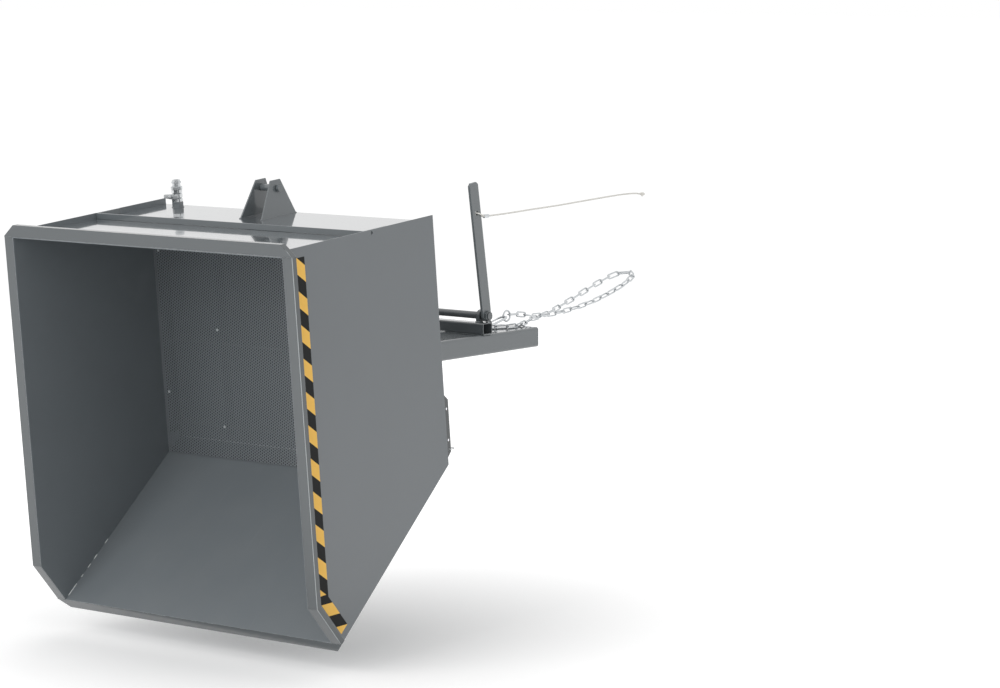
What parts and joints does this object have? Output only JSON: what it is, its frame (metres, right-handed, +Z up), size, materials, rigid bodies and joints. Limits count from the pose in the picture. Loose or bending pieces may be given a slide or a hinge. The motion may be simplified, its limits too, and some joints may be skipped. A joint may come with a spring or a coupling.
{
  "type": "self dumping hopper",
  "caption": "Steel tipping hopper with a kinked rim, raised strainer and drain valve, pivoting on a low shaft in a frame with two fork pockets and a rope-pulled latch.",
  "frame": {"origin": "midway between the fork pockets at their rear ends, on the level of the pockets' inner top faces, where the forks bear", "axes": "+X forward, the way the hopper pours; +Y to the left; +Z up. Rest pose: hopper tipped on its stops, as in the picture"},
  "size_m": [2.3249, 1.3, 1.4684],
  "materials": {
    "hopper_paint": "smooth semi-gloss grey paint",
    "inner_paint": "semi-gloss dark grey paint",
    "rim_paint": "semi-gloss grey paint",
    "frame_paint": "glossy grey paint",
    "zinc": "bright zinc plating",
    "chrome": "polished",
    "handle_steel": "satin",
    "bronze": "plain bearing bronze",
    "rubber": "matt black",
    "rope": "off-white braided cord"
  },
  "bodies": {
    "frame": {"fork_pocket_left": "frame_paint", "fork_pocket_right": "frame_paint", "rear_cross_tube": "frame_paint", "rest_beam": "frame_paint", "front_channel": "frame_paint", "pivot_bracket_left_outer": "frame_paint", "pivot_bracket_left_inner": "frame_paint", "pivot_bracket_right_inner": "frame_paint", "pivot_bracket_right_outer": "frame_paint", "latch_bearing_left": "frame_paint", "latch_bearing_right": "frame_paint", "chain_eye": "frame_paint", "rest_buffer_left": "rubber", "rest_buffer_right": "rubber", "tip_stop_left": "rubber", "tip_stop_right": "rubber", "pivot_shaft": "zinc", "pivot_ring": "zinc", "carabiner": "zinc", "chain_ring": "zinc", "safety_chain": "zinc", "chain_slack": "zinc"},
    "hopper": {"side_panel_left": "hopper_paint", "side_panel_right": "hopper_paint", "back_wall": "inner_paint", "floor_sheet": "inner_paint", "front_wall": "inner_paint", "strainer_sheet": "inner_paint", "rim_rear": "rim_paint", "rim_left": "rim_paint", "rim_right": "rim_paint", "rim_lip": "rim_paint", "cross_bar": "frame_paint", "lug_plate_left": "frame_paint", "lug_plate_right": "frame_paint", "strainer_frame": "frame_paint", "drain_socket": "frame_paint", "floor_skid_left": "frame_paint", "floor_skid_right": "frame_paint", "pivot_hanger_left": "frame_paint", "pivot_hanger_right": "frame_paint", "lug_bolt": "zinc", "lug_bush": "zinc", "hose_coupling": "zinc", "skid_clip": "zinc", "drain_valve_body": "chrome", "pivot_bush_left": "bronze", "pivot_bush_right": "bronze"},
    "drain_handle": {"valve_stem": "chrome", "valve_handle": "handle_steel"},
    "latch": {"latch_shaft": "zinc", "release_lever": "frame_paint", "lever_nut": "zinc", "latch_hook": "frame_paint"},
    "rope": {"rope_loop": "rope", "cable_clamp": "zinc", "release_cable": "rope", "cable_knot": "rope"},
    "gate": {"carabiner_gate": "zinc"}
  },
  "joints": [
    {"name": "hopper_tip", "type": "hinge", "parent": "frame", "child": "hopper", "pos_m": [0.8764, 0, 0.035], "axis": [0, 1, 0], "range_deg": [-95, 0]},
    {"name": "latch_release", "type": "hinge", "parent": "frame", "child": "latch", "pos_m": [0.262, 0, 0.067], "axis": [0, 1, 0], "range_deg": [-25, 0]},
    {"name": "rope_level", "type": "hinge", "parent": "latch", "child": "rope", "pos_m": [0.31625, 0.277, 0.42997], "axis": [0, 1, 0], "range_deg": [0, 25]},
    {"name": "drain_turn", "type": "hinge", "parent": "hopper", "child": "drain_handle", "pos_m": [0.99128, -0.502, 0.49905], "axis": [0.9962, 0, -0.0872], "range_deg": [0, 90]},
    {"name": "gate_swing", "type": "hinge", "parent": "frame", "child": "gate", "pos_m": [0.17531, 0.256, 0.04761], "axis": [0.2287, 0, 0.9735], "range_deg": [0, 25], "stiffness_Nm_per_rad": 0.03, "springref_deg": -17.19}
  ],
  "couplings": [
    {"joint": "rope_level", "follows": "latch_release", "ratio": -1}
  ]
}
